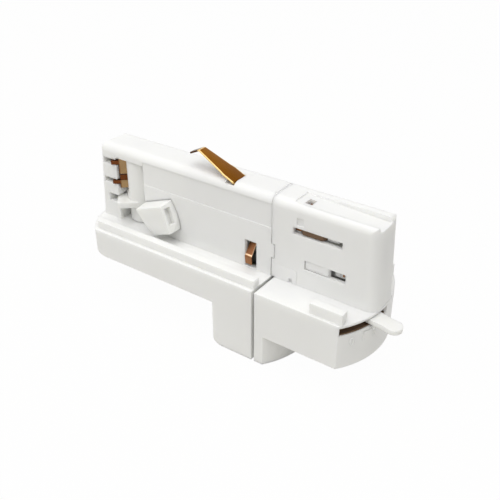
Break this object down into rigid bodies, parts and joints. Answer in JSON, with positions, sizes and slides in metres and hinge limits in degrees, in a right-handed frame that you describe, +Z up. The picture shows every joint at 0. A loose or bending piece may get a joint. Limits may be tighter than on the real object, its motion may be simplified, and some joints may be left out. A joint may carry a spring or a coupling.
{
  "type": "track light adapter",
  "caption": "White adapter that clips a spotlight into a lighting track: slim body with bronze contacts, wide flange, turning lock, snap claws, selector lever and boss for a threaded tube.",
  "frame": {"origin": "axis of the lamp's threaded tube, at the bottom face of the boss", "axes": "+X along the body to the selector lever, +Y to the side away from the camera, +Z up into the track"},
  "size_m": [0.1063, 0.0329, 0.0538],
  "materials": {
    "white_plastic": "fine satin moulding",
    "bronze": "rolled spring strip, dark with bright edges",
    "zinc_steel": "zinc plated",
    "terminal_plastic": "moulded"
  },
  "bodies": {
    "housing": {"main_housing": "white_plastic", "selector_housing": "white_plastic", "base_cover": "white_plastic", "selector_cover": "white_plastic", "cover_screws": "zinc_steel", "claw_spring": "zinc_steel", "detent_plate": "bronze", "earth_bar": "bronze", "terminal_block": "terminal_plastic", "terminal_screws": "zinc_steel", "nipple_nut": "zinc_steel"},
    "lock": {"lock_rotor": "white_plastic", "lock_lever": "white_plastic", "lock_contact_upper": "bronze", "lock_contact_lower": "bronze"},
    "claw_front": {"claw_front": "white_plastic"},
    "claw_back": {"claw_back": "white_plastic"},
    "selector": {"selector_rotor": "white_plastic", "selector_lever": "white_plastic", "selector_contact_upper": "bronze", "selector_contact_lower": "bronze"},
    "earth_spring": {"earth_spring": "bronze"},
    "side_contact": {"side_contact": "bronze"}
  },
  "joints": [
    {"name": "lock_turn", "type": "hinge", "parent": "housing", "child": "lock", "pos_m": [-0.0447, 0, 0.0233], "axis": [0, 0, 1], "range_deg": [-40, 45]},
    {"name": "selector_turn", "type": "hinge", "parent": "housing", "child": "selector", "pos_m": [0.0141, 0, 0.0233], "axis": [0, 0, 1], "range_deg": [-20, 6.5]},
    {"name": "claw_front_press", "type": "slide", "parent": "housing", "child": "claw_front", "axis": [0, 1, 0], "range_m": [0, 0.0043], "stiffness_N_per_m": 300, "springref_m": -0.001, "deforming": ["claw_spring"]},
    {"name": "claw_back_press", "type": "slide", "parent": "housing", "child": "claw_back", "axis": [0, -1, 0], "range_m": [0, 0.0043], "stiffness_N_per_m": 300, "springref_m": -0.001, "deforming": ["claw_spring"]},
    {"name": "earth_spring_press", "type": "hinge", "parent": "housing", "child": "earth_spring", "pos_m": [-0.00655, -0.0021, 0.0461], "axis": [0, -1, 0], "range_deg": [0, 6], "stiffness_Nm_per_rad": 0.2},
    {"name": "side_contact_press", "type": "hinge", "parent": "housing", "child": "side_contact", "pos_m": [-0.0005, -0.0026, 0.0319], "axis": [1, 0, 0], "range_deg": [0, 8], "stiffness_Nm_per_rad": 0.05}
  ]
}
